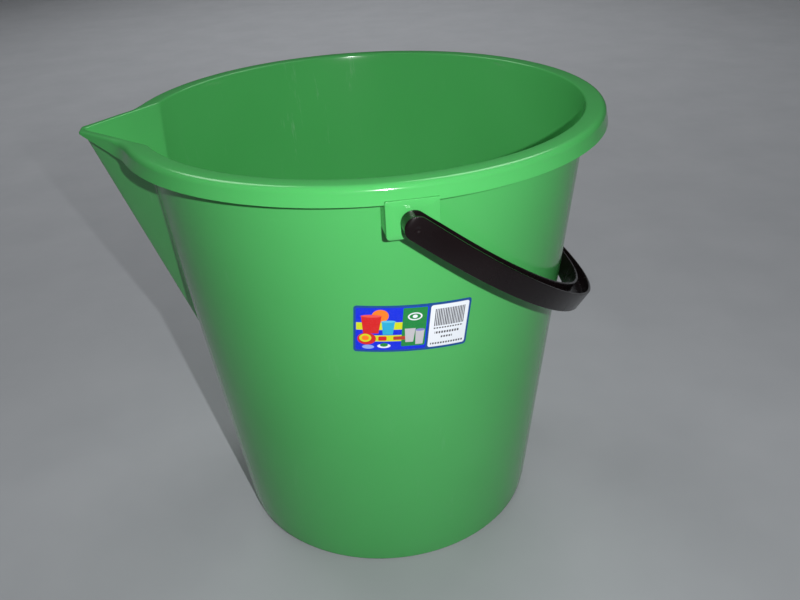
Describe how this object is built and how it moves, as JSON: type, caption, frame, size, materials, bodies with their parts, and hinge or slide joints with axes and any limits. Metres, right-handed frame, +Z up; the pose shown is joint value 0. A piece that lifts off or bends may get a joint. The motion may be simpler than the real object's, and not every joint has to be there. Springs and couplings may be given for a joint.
{
  "type": "wash bucket",
  "caption": "Tapered round plastic bucket with a down-turned rim skirt, a V-shaped pouring spout, two pivot lugs and a swinging channel-section carry handle.",
  "frame": {"origin": "centre of the flat base, on the bucket's axis", "axes": "+Z up along the bucket's axis, -X towards the pouring spout, the handle pivots lie at +Y and -Y"},
  "size_m": [0.3521, 0.3528, 0.315],
  "materials": {
    "bucket_body": "glossy injection-moulded polypropylene, green",
    "carry_handle": "glossy injection-moulded polypropylene, brown-black",
    "product_label": "printed and varnished adhesive label, blue border"
  },
  "bodies": {
    "bucket": {"bucket_body": "bucket_body", "product_label": "product_label"},
    "handle": {"carry_handle": "carry_handle"}
  },
  "joints": [
    {"name": "handle_swing", "type": "hinge", "parent": "bucket", "child": "handle", "pos_m": [0, 0, 0.2945], "axis": [0, -1, 0], "range_deg": [0, 209]}
  ]
}
